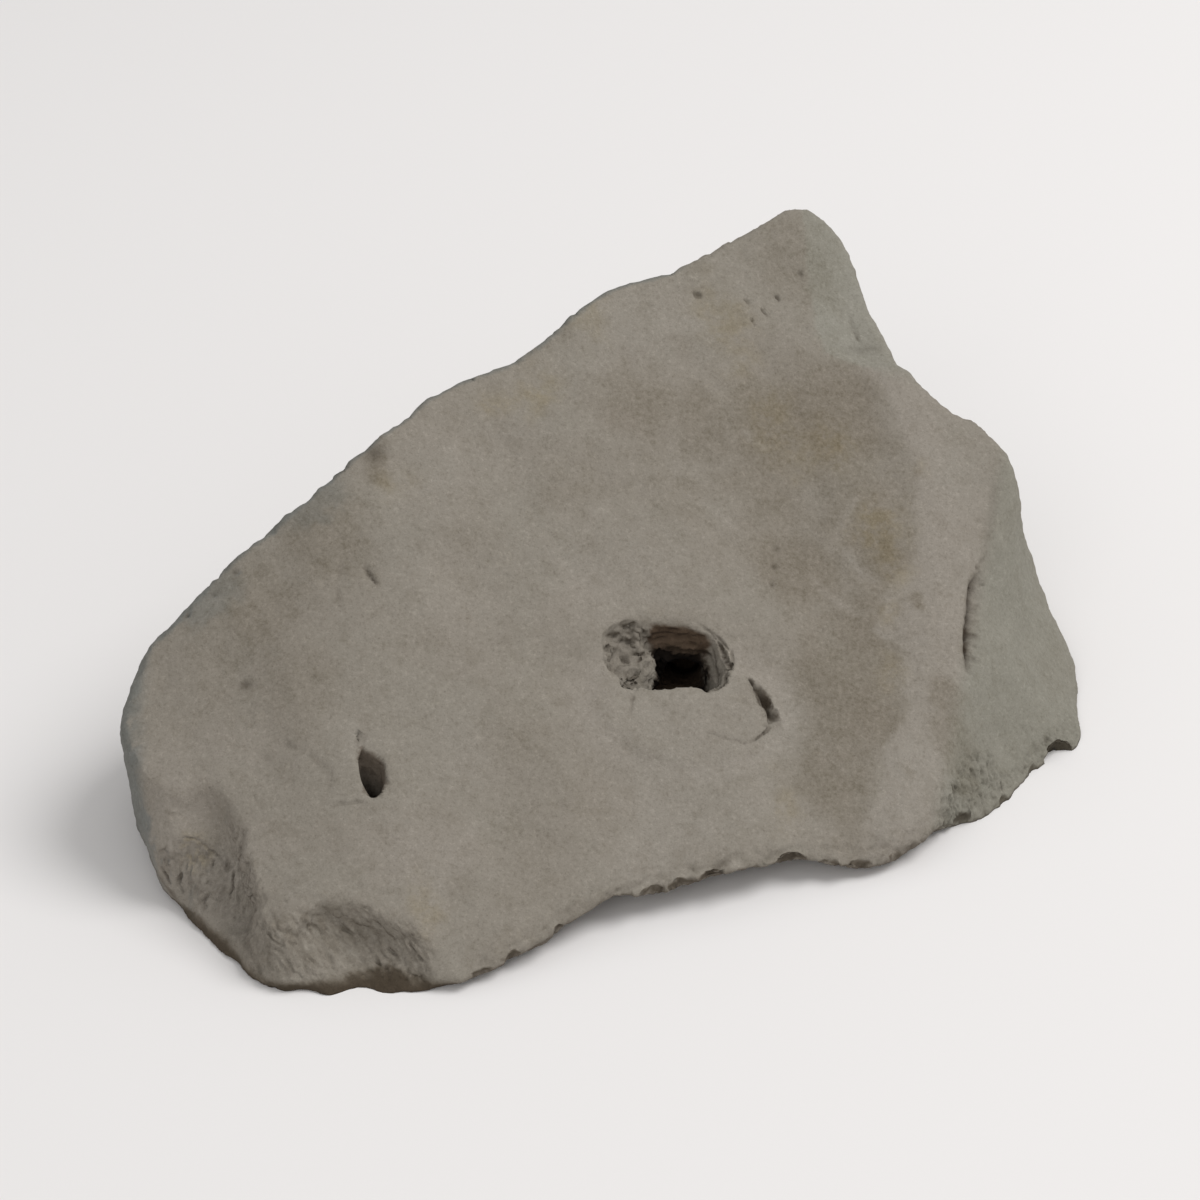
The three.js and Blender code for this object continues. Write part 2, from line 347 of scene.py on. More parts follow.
NUDGES = [       # where the outline is moved: the middle, the half width, the way and how far
    ((90, 82, 95), 9, (1, 0, 0.3), 4.2), ((76, 112, 117), 8, (0.8, 0, 0.5), 1.2),
    ((114, 62, 72), 11, (-0.3, -0.5, -0.8), 1.4), ((137, 22, 28), 13, (-1, 0, 0), 1.8),
    ((148, -4, 10), 9, (0.9, -0.4, 0), 1.4), ((-72.5, -84.3, 37), 2.4, (0, -1, -0.6), 1.3),
    ((-90, -127, 0), 4, (0, 1, 0), 1.4), ((-83, -129, 0), 3.5, (0, -1, 0), 1.0),
    ((-74.5, -128, 0), 5, (0, 1, 0), 2.0), ((-66, -128, 0), 4, (0, -1, 0), 0.6),
    ((-107, -8, 80), 8, (0.2, -0.3, -0.9), 1.2), ((136, 34, 29), 10, (-1, 0.1, 0), 1.0),
    ((-122, -105, 2), 7, (0.55, 0.8, 0), 1.0), ((92, 68, 91), 6, (0.8, 0.3, 0.5), 1.3),
    ((126.6, 48.6, 71), 8, (-0.9, 0, -0.4), 0.8), ((-139, -35, 58), 8, (0.9, 0, -0.2), 0.7),
    ((124, -36, 2), 6, (-0.5, 0.87, 0), 0.8),
]
FOOT_NUDGES = [  # and the same along lines by the foot
    ([(-126, -102, 2), (-112, -117, 0), (-84, -128, 0), (-50, -128, 0)], 8, (-0.3, -0.95, 0), 2.6),
    ([(146, -8, 3), (141, -17, 2), (131, -26, 1), (121, -38, 0)], 6, (0.5, -0.87, 0), 1.8),
]
FINE_SPOTS = [   # where the detail is finest: the middle and the radius
    ((17, -31, 45), 26), ((-73, -79, 38), 14), ((42, -38, 37), 15), ((111, 0, 44), 16),
    ((109, -20, 34), 12), ((-120, -94, 18), 26), ((-75, -122, 8), 26), ((-100, -116, 12), 16),
    ((108, -49, 8), 15), ((124, -33, 3), 12), ((139, -16, 4), 10),
]


def is_detailed(points):
    inside = [np.linalg.norm(points - middle, axis=1) < radius for middle, radius in FINE_SPOTS]
    return np.any(inside, axis=0)


def pit_depth(points):
    """How far a point lies under the face's own plane."""
    x, y, z = points.T
    return FACE_LEVEL + FACE_RISE * y + FACE_LEAN * x - z


def inside_slot(points):
    """How far each point lies inside the outline of the slot's mouth, below 0 outside it, and
    the way that leads inward from the nearest edge."""
    flat, corners = on_plane(points, FACE_SLOPE), on_plane(np.array(SLOT_OUTLINE), FACE_SLOPE)
    inside = np.full(len(points), np.inf)
    inward = np.zeros((len(points), 3))
    for begin, end in zip(corners, np.roll(corners, -1, axis=0)):
        way = np.cross(FACE_SLOPE, end - begin)
        way /= np.linalg.norm(way)
        distance = (flat - begin) @ way
        nearer = distance < inside
        inside[nearer] = distance[nearer]
        inward[nearer] = way
    return inside, inward


def slot_depth(points):
    """How far a point lies under the face where it is by the slot."""
    return pit_depth(points) + SLOT_TILT * (points[:, 0] - SLOT_LEFT)


def pad_reach(points):
    """0 in the middle of the pad under the large pit, and 1 at its rim."""
    reach = np.linalg.norm((points - PAD) / PAD_RADII, axis=1)
    return reach + 0.06 * noise_at(points, 14, 61)


def past_peak_edge(points):
    """How far a point lies to the right of the edge where the facet by the peak begins."""
    edge = np.interp(points[:, 1], PEAK_EDGE_Y, PEAK_EDGE_X)
    return points[:, 0] - edge + 1.2 * noise_at(points, 9, 97)


# ---- The stone's shape ----
def carve(clay, eggs, rag=0.0, seed=0, dark=0.0):
    """Breaks egg-shaped hollows out of the stone. The eggs' middles lie outside it. Their broken
    faces are marked torn, and dark paints shade into them.
    """
    steps = np.zeros((len(clay.points), 3))
    for middle, radii in eggs:
        offset = (clay.points - middle) / radii
        away = np.linalg.norm(offset, axis=1)
        near = away < 1 + 2 * rag
        wall = where(near, clay.points, lambda points: 1 + rag * rough(points, min(radii), 3, seed))
        push = np.where(away < wall, wall / away - 1, 0)
        steps += offset * push[:, None] * radii
    broken = ramp(np.linalg.norm(steps, axis=1), 0.1, 1)
    clay.mark_torn_and_shade(broken)
    clay.mark_dirt_and_shade(dark * broken)
    clay.move(steps)


def swell_face(clay):
    """Gives the face its wide dish and its worn ridge, and tips the facet by the peak."""
    points = clay.points
    ridge = from_line(points, RIDGE)
    dish = spot(points, (60, 12, 66), 30) * 1.8
    clay.raise_by(face_share(clay) * (1.6 * bell(ridge, 11) - dish))
    beyond = np.clip(past_peak_edge(clay.points), 0, 16)
    upper = ramp(clay.points[:, 1], 66, 73) * ramp(clay.points[:, 2], 55, 85)
    clay.shift_by((0, 0, -1), 0.20 * beyond * upper)


def fill_out(clay):
    """Moves the outline where the smoothing has drawn it in or a facet stands out too far."""
    for middle, width, direction, amount in NUDGES:
        clay.shift_by(direction, amount * spot(clay.points, middle, width))
    for line, width, direction, amount in FOOT_NUDGES:
        away = from_line(clay.points, line)
        clay.shift_by(direction, amount * bell(away, width))


def raise_pad(clay):
    """The worn pad under the large pit, with a rounded rim all round."""
    reach = pad_reach(clay.points)
    rim = bell(reach - 0.95, 0.16)
    clay.raise_by(face_share(clay) * (0.8 * ramp(reach, 1.2, 0.8) + 0.4 * rim))


def press(clay, line, toward, reach, inward, depth):
    """Pushes the stone inward on one side of a line, deepest near the line."""
    away, along, step = along_line(clay.points, line)
    beside = step @ (np.array(toward) / np.linalg.norm(toward))
    hollow = ramp(beside, -0.3 * reach, 0.45 * reach) * ramp(beside, reach, 0.45 * reach)
    ends = ramp(along, 0, 0.2) * ramp(along, 1, 0.8) * ramp(clay.points[:, 2], -1, 6)
    clay.shift_by(inward, depth * hollow * ends * (away < 1.5 * reach))


def tear(clay, line, width, streak, size, height, seed, dark=0.5, fibrous=0.1):
    """Roughens the stone along a line, into splinters that run one way. Its gashes and creases
    get painted shade, and the fibres between them darker streaks; dark and fibrous say how
    strong these are."""
    away = from_line(clay.points, line)
    inside = ramp(away, width, 0.4 * width) * ramp(clay.points[:, 2], 0.5, 3)
    inside *= ramp(from_line(clay.points, LEFT_FOOT), 2, 9)
    near = inside > 0
    streaks = stretched(clay.points, streak, 2.6)
    splinters = where(near, streaks, lambda points: ridged(points, 2.4 * size, 4, seed))
    gashes = where(near, streaks, lambda points: ramp(rough(points, 2 * size, 2, seed + 5), 0.2, 0.55))
    patches = where(near, clay.points, lambda points: ramp(noise_at(points, 6 * size, seed + 9), -0.3, 0.3))
    gashes *= inside * patches
    threads = stretched(clay.points, streak, 5)
    fibres = where(near, threads, lambda points: rough(points, size, 3, seed + 13, 0.8))
    clay.raise_by(inside * height * (splinters - 0.7 + 0.2 * fibres) - 0.5 * height * gashes)
    creases = inside * patches * ramp(splinters, 0.4, 0.1)
    shade = dark * np.maximum(0.7 * creases, gashes) + fibrous * inside * ramp(fibres, 0.05, 0.45)
    clay.mark_dirt_and_shade(shade)


def shade_along(clay, line, width, strength, streak, seed):
    """Paints shade along a line, in streaks that run one way, into the same map as the torn stone."""
    away = from_line(clay.points, line)
    threads = stretched(clay.points, streak, 5)
    uneven = where(away < 3 * width, threads, lambda points: rough(points, 2, 3, seed, 0.7))
    share = strength * np.clip(1 + 2 * uneven, 0, 2) * bell(away, width)
    clay.mark_torn_and_shade(share)


def ease(clay, line, width, rounds):
    """Smooths the stone along a line, so that what is worked there next does not fold."""
    smooth(clay.mesh, rounds, share=ramp(from_line(clay.points, line), width, 0.6 * width))
    clay.look()


def break_left_scoop(clay):
    """The torn hollow at the left: a smooth shell above, streaks and gashes below, and painted
    shade down the wall under its rim.
    """
    clay.raise_by(2.5 * spot(clay.points, SHELL, 11))
    press(clay, LEFT_SCOOP_RIM, (-0.9, -0.35, -0.25), 16, (0.75, 0.6, -0.25), 4.5)
    press(clay, SHELL_LEDGE, (0.1, -0.5, -0.85), 9, (0.4, 0.9, 0), 2.0)
    middle = [(-132, -90, 8), (-124, -93, 13), (-115, -101, 17), (-108, -112, 10)]
    ease(clay, middle, 20, 16)
    ease(clay, LEFT_SCOOP_RIM, 7, 12)
    tear(clay, middle, 15, (-0.1, -0.35, -0.93), 1.3, 1.0, 3, 0.15, 0.25)
    shade = [(-122, -80.5, 33), (-116.5, -85, 30), (-113, -91, 26), (-111, -97.5, 21),
             (-109, -104, 17), (-107, -111, 13)]
    tear(clay, shade[2:], 7, (0.25, -0.5, -0.83), 1.1, 1.0, 5, 0.18, 0.25)
    shade_along(clay, shade, 4.5, 0.12, (0.25, -0.5, -0.83), 7)


def break_front_scoop(clay):
    """The hollow at the front left, steep at its right side, with painted shade over its middle."""
    press(clay, FRONT_SCOOP_RIM, (-0.35, -0.6, -0.75), 19, (0.1, 0.98, -0.1), 4.4)
    middle = [(-104, -119, 8), (-92, -121, 10), (-78, -118, 10), (-63, -121, 7)]
    ease(clay, middle, 16, 10)
    ease(clay, FRONT_SCOOP_RIM, 7, 10)
    tear(clay, middle, 14, (0.6, -0.5, -0.6), 1.3, 0.8, 13, 0.2, 0.25)
    shade_along(clay, [(-93, -116, 13), (-84, -116, 13), (-75, -117, 11)], 8, 0.32,
                (0.6, -0.5, -0.6), 17)


def wear_lower_right(clay):
    """The knobby stone at the lower right corner, and the ragged edge under it."""
    tear(clay, [(101, -56, 8), (106, -49, 9), (111, -43, 10), (114, -38, 9)], 11,
         (0, 0.3, 1), 1.5, 1.4, 43, 0.3)
    tear(clay, [(119, -42, 3), (126, -33, 3), (132, -25, 3), (139, -18, 4), (146, -8, 4)], 6,
         (0.2, 0, 1), 2, 1.0, 47)


def wear_front_edge(clay):
    """The splintered lower edge of the face, all along the front."""
    tear(clay, [(-35, -122, 6), (-20, -112, 8), (0, -99, 12), (20, -93, 12), (45, -83, 11),
                (65, -80, 9), (85, -75, 8), (97, -66, 9)], 8, (0.9, 0.4, 0.2), 2.4, 1.3, 53)


def cut_lines(clay, lines, facing):
    """Cuts narrow grooves in a surface that looks one way, and paints shade into them, darker
    where they are deeper. They are deepest in the middle of their lines."""
    height = np.zeros(len(clay.points))
    for line, width, depth in lines:
        line = np.array(line, float)
        reach = np.linalg.norm(line - line.mean(0), axis=1).max() + 3 * width + 3
        near = np.linalg.norm(clay.points - line.mean(0), axis=1) < reach
        near &= clay.normals @ facing > 0.3
        points = clay.points[near]
        away, along, _ = along_line(on_plane(points, facing), on_plane(line, facing))
        wander = 1 + 0.5 * rough(points, 3.5 * width, 2, 71)
        aside = away / (width * wander)
        ends = 0.2 + 0.8 * np.clip(4 * along * (1 - along), 0, 1) ** 0.5
        groove = ramp(aside, 1.3, 0.4) * ends
        streaks = rough(stretched(points, line[-1] - line[0], 5), 1.2, 2, 73, 0.8)
        height[near] = np.minimum(height[near], -depth * groove * (1 + 0.2 * streaks))
        shade = np.clip(0.7 + 0.09 * depth + 0.9 * streaks, 0.2, 1)
        shade *= ramp(aside, 1.3 + 0.05 * depth, 0.4 + 0.2 * depth) * ends * min(1, depth / 1.2)
        clay.dirt_and_shade[near] = np.maximum(clay.dirt_and_shade[near], shade)
    clay.raise_by(height)


def cut_groove(clay):
    """The torn groove down the right side: a cleft painted dark as its shadow, and short teeth
    at its right with painted shade between them.
    """
    away, along, step = along_line(clay.points, GROOVE)
    ends = np.clip(6 * along * (1 - along), 0, 1)
    right = step @ np.array([0.87, 0.35, -0.35])
    teeth = noise_at(stretched(clay.points, (1, 0.4, -0.5), 4), 2.2, 4)
    cleft = bell(right - 0.6, 1.6) * (away < 4.5) * ends
    fringe = ramp(right, -0.3, 1.2) * ramp(right, 7, 3) * (away < 9) * ends
    clay.raise_by(-2.8 * cleft - fringe * (1.1 + 1.6 * teeth))
    dark = cleft + 0.9 * fringe * ramp(-teeth, 0, 0.4) * ramp(right, 6, 3)
    clay.mark_dirt_and_shade(np.clip(dark, 0, 1))
    fold = from_line(clay.points, FOLD)
    clay.raise_by(-0.4 * bell(fold, 1.2))
    clay.mark_dirt_and_shade(0.16 * bell(fold, 1.8))


def shape_lobe(clay):
    """The lump at the left of the large pit: sunk under the face, and bulging to the right."""
    torn_and_shade_before = clay.torn_and_shade
    carve(clay, [((5, -33, 55), (11.5, 10, 12))], 0.08, 19)
    clay.torn_and_shade = torn_and_shade_before
    clay.shift_by((0.9, -0.3, 0.2), 2.4 * spot(clay.points, (8, -27, 42), 5))


def open_slot(clay):
    """Brings the sheer walls of the small slot under the outline of its mouth."""
    inside, inward = inside_slot(clay.points)
    depth = pit_depth(clay.points)
    walls = ramp(slot_depth(clay.points), 0.3, 1) * ramp(depth, 9, 5)
    clay.move(inward * (np.clip(-inside, 0, 3) * ramp(inside, -3.5, -2.5) * walls)[:, None])
    clay.shift_by(-FACE_SLOPE, ramp(inside, -0.1, 0.5) * ramp(depth, 6, 3))


def roughen_pit(clay):
    """Lumps and cracks at the left of the large pit, and layers at its back. The left side gets
    painted shade, darker in its cracks and in a small bowl.
    """
    points, x = clay.points, clay.points[:, 0]
    sunk = ramp(pit_depth(points), 1.2, 3.5) * ramp(spot(points, PIT, 26), 0.15, 0.4)
    left = sunk * ramp(x, 11, 8.5)
    back = sunk * ramp(x, 8, 12) * ramp(x, 30, 26)
    near = sunk > 0
    cracks = where(near, points, lambda place: bell(noise_at(place, 3.2, 23), 0.12))
    cracks *= where(near, points, lambda place: ramp(noise_at(place, 7, 24), -0.2, 0.2))
    lumps = where(near, points, lambda place: rough(place, 4.5, 3, 21, 0.7))
    layers = where(near, stretched(points, (1, 0, 0), 5), lambda place: rough(place, 3, 3, 25, 0.7))
    clay.raise_by(sunk * 0.35 * lumps + left * (0.7 * lumps - 0.6 * cracks) + back * 0.8 * layers)
    clay.mark_dirt_and_shade(left * (0.18 + 0.4 * cracks))
    bowl = left * spot(points, (5, -38, 44), 5)
    clay.raise_by(-1.0 * bowl)
    clay.mark_dirt_and_shade(0.35 * bowl)


MARKS = [   # lines cut in the face: the points, the half width and the depth
    ([(39.5, -32.5, 41), (42, -35.5, 39), (47, -43, 34)], 0.8, 2.5),
    ([(41.5, -35, 39), (44.5, -38.5, 36.6), (47.3, -44, 33)], 1.6, 3.3),
    ([(42, -34.5, 39), (45.5, -38.5, 36.6)], 0.4, 1.0), ([(43, -38, 37), (46, -43, 34)], 0.4, 1.0),
    ([(40, -34, 40), (42, -38, 37.5), (44, -41, 35.5)], 0.3, 0.8),
    ([(47, -43, 33), (46, -46, 32), (43.5, -48.5, 31.5), (40.5, -51.5, 31)], 0.35, 0.7),
    ([(40.5, -51.5, 31), (38, -52.5, 31.5), (35, -52, 32.5)], 0.3, 0.5),
    ([(38, -52, 30), (32, -51.5, 32), (26, -51, 34)], 0.5, 0.35),
    ([(30.5, -23.5, 47), (32, -26, 45.5), (33.5, -29, 44.5), (34.5, -32, 44)], 0.55, 1.2),
    ([(34.5, -31.5, 44), (32.5, -31.3, 44), (30.5, -31, 43)], 0.35, 0.8),
    ([(29, -21, 49), (31, -23, 48), (34, -26, 46.5)], 0.3, 0.5),
    ([(4, -44, 43), (3, -50, 40)], 0.7, 0.5),
    ([(-77, -22, 75), (-73.5, -26.5, 72)], 0.6, 1.2),
    ([(-84, -20, 76), (-85.5, -27, 72), (-83.5, -35, 68)], 0.9, 0.3),
    ([(-85, -88, 36), (-80, -87.5, 36.5), (-74, -86, 36)], 0.5, 0.35),
    ([(-102, -68, 45), (-92, -73, 43), (-85, -79, 41), (-86, -86, 37)], 1.2, 0.25),
    ([(-76, -68, 46), (-77, -72, 44)], 1.4, 0.4),
    ([(76, 86, 103), (78, 80, 99), (80, 76, 97)], 0.6, 0.6),
    ([(74, 73, 96), (80, 74, 96), (87, 76, 95)], 1.6, 0.3),
    ([(41, 81.5, 110), (42.5, 79.5, 109)], 0.5, 0.8), ([(43, 74.5, 107), (44.5, 72.5, 106)], 0.5, 0.7),
    ([(51, 85, 110), (53, 82.5, 109)], 0.5, 0.9), ([(46, 79, 108), (48.5, 76, 107)], 0.45, 0.7),
    ([(59, 95, 114), (61, 91.5, 112)], 0.4, 0.5), ([(24, 81, 113), (27, 79, 112)], 0.6, 0.6),
]
SCOOP_GASHES = [   # and in the torn hollows at the left
    ([(-121, -90.6, 17.4), (-120.6, -91.4, 16), (-121, -92.4, 15)], 0.35, 0.6),
    ([(-115.8, -90.6, 18), (-115.2, -91.6, 16.4), (-115.6, -93, 15)], 0.3, 0.6),
    ([(-113.2, -93, 15), (-114, -94.4, 13.4), (-113.6, -96, 11.5), (-114.8, -97.4, 10)], 0.4, 0.95),
    ([(-111, -97, 16), (-110.4, -98, 13.5), (-110, -100, 12)], 0.3, 0.6),
    ([(-121.4, -96.2, 9.3), (-122.4, -97.4, 7.6), (-122, -99, 5.6)], 0.6, 0.6),
    ([(-129.2, -91, 12.3), (-130.3, -91, 10.6), (-130.8, -91.2, 8.8)], 0.4, 0.8),
    ([(-130.9, -91, 8.6), (-129.8, -92, 7.8), (-129.3, -93.4, 6.8)], 0.3, 0.6),
    ([(-136, -88.2, 12.5), (-134.6, -89, 10.4), (-133.2, -90, 7.6)], 0.45, 0.9),
    ([(-106.4, -106, 16), (-105.8, -108, 15), (-105.6, -112, 13)], 0.3, 0.5),
    ([(-129, -86.6, 23.2), (-125, -86.5, 22.4), (-121.5, -88.2, 19.9)], 0.4, 0.35),
    ([(-124, -87, 21.8), (-120, -89.2, 18.3), (-118.5, -90, 17.4)], 0.35, 0.45),
    ([(-136, -85.7, 15.2), (-132.9, -87.3, 16.5), (-129, -88.3, 16.5)], 1.4, 0.35),
    ([(-102, -119, 14.4), (-99.5, -120.2, 13.2), (-96.6, -122, 11.3)], 0.35, 0.6),
    ([(-67.5, -117.7, 7.5), (-66.4, -119, 6.6), (-64.4, -120, 5)], 0.6, 0.6),
    ([(-61, -118.3, 10), (-58.5, -121, 8)], 0.5, 0.7),
    ([(-58, -121, 7.5), (-56.3, -122.2, 5.9)], 0.5, 0.7),
    ([(-92, -123, 8.7), (-87.7, -122.6, 6.3)], 0.5, 0.5),
]
PIT_CRACKS = [     # and in the right side of the large pit
    ([(25, -19.5, 52), (29, -21.5, 49.5), (32, -26, 46.5)], 0.3, 0.4),
    ([(31, -27, 46), (32.5, -29, 45), (34.5, -31.5, 44)], 0.45, 0.8),
    ([(34.5, -31.5, 44), (32.5, -31, 43)], 0.4, 0.7), ([(34, -26, 48), (34.5, -31, 45)], 0.35, 0.5),
    ([(32.5, -32, 42), (32, -35, 40), (30, -37.5, 39)], 0.8, 1.6),
    ([(28.5, -24, 46), (28, -29, 43), (28.5, -34, 41)], 0.4, 0.7),
]
LOBE_CRACKS = [    # and in the lump at its left
    ([(-5.1, -30.8, 50.9), (-3, -29.4, 50.9), (-1.5, -28.6, 50.3)], 0.5, 1.0),
    ([(-4.9, -31.2, 50.6), (-2.2, -29.7, 49)], 0.4, 0.8), ([(1, -23, 53.4), (4.7, -22.6, 54.5)], 0.5, 0.8),
    ([(-3.6, -26.4, 52.3), (0.3, -24.8, 52.1), (1.6, -23.3, 51.9)], 0.5, 0.8),
    ([(2.2, -24.5, 48.6), (3.6, -23.9, 48.6), (4.4, -24.2, 47.6)], 0.4, 0.7),
    ([(3.8, -27.2, 46.1), (6.6, -25.7, 44.1), (8.4, -25.3, 43.5)], 0.45, 0.9),
    ([(5.2, -28.8, 44.5), (7.2, -26.9, 43.8)], 0.5, 1.0), ([(8.1, -23.9, 44), (9.5, -23.6, 42)], 0.45, 0.9),
    ([(4, -34.5, 42.9), (4.4, -33, 42.3), (5.5, -31.1, 41.7)], 0.5, 0.9),
    ([(0.5, -27.8, 44.7), (1.6, -28.6, 44.9), (3, -28.7, 44.2)], 0.45, 0.8),
]
SMALL_PITS = [   # the middle, the half width and the depth
    (26, 80, 112.5, 1.0, 0.8), (18, 84, 116, 0.9, 0.6), (60, 93.5, 113, 0.9, 0.8),
    (60, 108, 121, 1.0, 0.9), (46, 112, 124, 1.0, 0.8), (52, 84, 109.5, 0.9, 0.8),
    (-112, -52, 53, 1.6, 0.9), (-123, -26, 68, 1.0, 0.8), (-117, -20, 72, 0.9, 0.8),
    (-131, -30, 63, 0.9, 0.8), (49, 4, 57.5, 1.1, 0.6), (48, -2.5, 55, 0.8, 0.6), (103, -51, 12, 1.4, 0.9),
    (109, -42, 10, 1.3, 0.9), (117, 31, 60, 1.0, 0.8), (118, 26, 57, 0.9, 0.7),
    (115, 15, 52, 0.7, 0.6), (114, 12, 51.5, 0.7, 0.7), (26.7, -38.5, 41.5, 1.3, 1.6),
    (-76, 11, 95, 3.0, 1.2), (-104, -74, 43, 1.6, 0.7), (50, 10, 61, 1.3, 0.6),
]


def dent(clay):
    # Small pits, with painted shade in them.
    height = np.zeros(len(clay.points))
    for x, y, z, width, depth in SMALL_PITS:
        hollow = spot(clay.points, (x, y, z), width)
        height -= depth * hollow
        clay.mark_dirt_and_shade(0.6 * hollow)
    clay.raise_by(height)


LIP_CHIPS = [    # eggs broken out of the front lip: the middle and the three half sizes
    ((-38, -129.3, 4), (5, 6, 6)), ((-30, -124, 5), (4, 6, 6)), ((-17, -115, 8), (3, 6, 6)),
    ((3, -104, 9), (4.5, 6, 6)), ((11, -100, 10), (5.5, 6, 6)), ((20, -97.3, 10), (6, 6, 6)),
    ((28, -95.2, 10), (5.5, 7, 6)), ((42, -91.2, 10), (5, 6, 6)), ((53, -87, 9), (7.5, 8, 8)),
    ((63, -85.2, 8), (5.5, 6, 6)), ((73, -83.6, 7), (5.5, 6, 6)), ((85, -79, 7), (4, 6, 6)),
    ((98, -69.5, 7), (3.5, 6, 6)),
]
FOOT_CHIPS = [   # and out of the foot at the right
    ((141.5, -21.5, 1), (6.3, 6.3, 5.5)), ((133.5, -29, 1.5), (4, 4, 4)),
    ((129, -36, 1.5), (4, 4, 4)), ((122.5, -45, 1.5), (4, 4.5, 4)), ((116.3, -52.8, 2), (4.8, 5.5, 5)),
    ((107.5, -58.5, 2), (5, 6, 5.5)), ((101.5, -65, 2.5), (4.5, 5.5, 5)),
]


def break_walls(clay):
    """Ledges, chunks and cracks on the broken walls at the back and under the edges."""
    points = clay.points
    share = hidden_share(clay) * ramp(pit_depth(points), 2, 15)
    share *= ramp(from_line(points, LEFT_FOOT), 4, 14) * ramp(points[:, 2], 0, 8)
    bent = points + np.column_stack([rough(points, 22, 3, seed) for seed in (31, 34, 37)]) * 5
    big, small = shards(bent * (0.7, 1, 1.3), 30, 33), shards(bent * (0.8, 1, 1.2), 12, 36)
    uneven = rough(points, 15, 4, 39, 0.6)
    fresh = ramp(noise_at(points, 26, 40), -0.1, 0.4)
    clay.raise_by(share * (4.0 * big + 1.5 * small * fresh + 1.0 * uneven - 0.6))
    smooth(clay.mesh, 4, share=share)
    clay.look()
    clay.mark_torn_and_shade(0.55 * share * fresh)


def draw_in_foot(clay):
    """Undercuts the lowest edge all round, more in some places than in others, and paints shade
    over the lowest few millimetres.
    """
    x, y, z = clay.points.T
    crisp = ramp(x - y, 125, 145)
    low = ramp(z + 2.5 * crisp, 5, 0.5) * (1 - 0.6 * crisp)
    bites = rough(clay.points * (1, 1, 0.6), 14, 2, 41)
    out = clay.normals * (1, 1, 0)
    out /= np.maximum(np.linalg.norm(out, axis=1), 0.2)[:, None]
    clay.move(-out * (low * (0.9 + 0.8 * bites))[:, None])
    clay.mark_torn_and_shade(ramp(clay.points[:, 2] + 3 * crisp, 4.5, 1.5))


def grain(clay):
    """The fine unevenness of the whole surface: slight on the face, coarse on the walls."""
    points = clay.points
    coarse = 1 - face_share(clay)
    wide = 0.30 * rough(points, 18, 3, 51)
    fine = 0.15 * rough(points, 4.5, 3, 55, 0.6)
    pores = bell(noise_at(points, 2.6, 57) - 0.75, 0.12)
    scuffed = bell(from_line(points, RIDGE[4:]), 12)
    scrapes = where(scuffed > 0.05, stretched(points, (0.3, 0.8, 0.5), 2.5),
                    lambda place: rough(place, 4, 3, 58, 0.7))
    clay.raise_by(wide + fine - 0.25 * pores + coarse * 0.45 * rough(points, 8, 3, 59, 0.6)
                  + 0.35 * scuffed * scrapes)


def relax_crests(clay):
    """Rounds the edge between the face and the right side, and the top of the peak."""
    smooth(clay.mesh, 30, share=bell(from_line(clay.points, RIGHT_CREST), 6))
    smooth(clay.mesh, 12, share=bell(from_line(clay.points, PEAK_CREST), 4))
    clay.look()


def flatten_sole(clay):
    clay.points[:, 2] = np.maximum(clay.points[:, 2], LOW.z / MM)
    clay.move(0)


def thin_out(rock):
    count = 2 * len(rock.data.polygons)
    with_modifier(rock, "DECIMATE", ratio=min(1, MOST_TRIANGLES / count))


# ---- Where the stone is stained, worn or cold, and where light, shade and a sky reflection are painted ----
# Spots on the face, seen from above: the middle, the half width and the strength.
FILM = [
    (68, 48, 19, 1.0), (47, 43, 17, 0.9), (27, 40, 14, 0.6), (7, 42, 15, 0.6),
    (45, 27, 16, 0.6), (76, 28, 16, 0.7), (82, 10, 14, 0.8), (57, 5, 16, 0.8), (78, -12, 16, 0.9),
    (70, -32, 20, 0.95), (66, -56, 15, 0.85), (50, -54, 9, 0.4), (-29, -91, 9, 0.25),
    (-111, -35, 20, 0.55), (-88, -13, 16, 0.6), (-95, -53, 14, 0.45), (20, 17, 14, 0.4),
    (-18, 14, 13, 0.35), (58, 97, 17, 0.5), (-30, -60, 12, 0.35), (-76, 8, 6, 0.8),
    (-8, -76, 10, 0.3), (-60, -40, 10, 0.2), (-45, -5, 9, 0.25),
]
SCOOP_PAINTED_LIGHT = [   # painted light, lifting the walls of the scoops where they lie in shade
    (-132, -85, 14, 1.0), (-117, -99, 14, 1.0), (-98, -116, 13, 0.3),
]
WORN = [
    (-51, -27, 16, 0.5), (-55, 9, 16, 0.5), (3, -78, 9, 0.8), (24, -79, 9, 0.7),
    (-44, -95, 7, 0.8), (-9, -16, 12, 0.7), (10, -8, 12, 0.4), (0, 62, 12, 0.6),
    (18, 70, 12, 0.4), (-44, -68, 10, 0.5), (51, -65, 8, 0.5), (40, -70, 8, 0.5),
    (74, 14, 5, 0.7), (-66, -98, 12, 0.5), (-118, -70, 14, 0.4), (-80, -70, 7, 0.6),
    (-30, 20, 12, 0.4), (5, 36, 5, 0.6), (-134, -80, 13, 1.0), (10, -80, 19, 0.8),
    (-58, -100, 15, 0.8),
]
OCHRE = [
    (36, 73, 8, 0.7), (30, 80, 6, 0.5), (-26, 36, 6, 0.9), (-36, 34, 5, 0.6), (-22, 41, 6, 0.6),
    (84, 17, 9, 0.9), (87, 9, 6, 0.7), (-125, -87, 4, 1.0), (-55, -109, 6, 0.6), (52, 44, 9, 0.6),
    (68, 42, 8, 0.8), (60, 36, 6, 0.5), (84, -6, 4, 0.6), (85, -24, 4, 0.5), (50, -66, 6, 0.5),
    (-10, 66, 7, 0.5), (100, 36, 3, 0.4), (-70, 5, 6, 0.6), (40, 62, 5, 0.4),
]
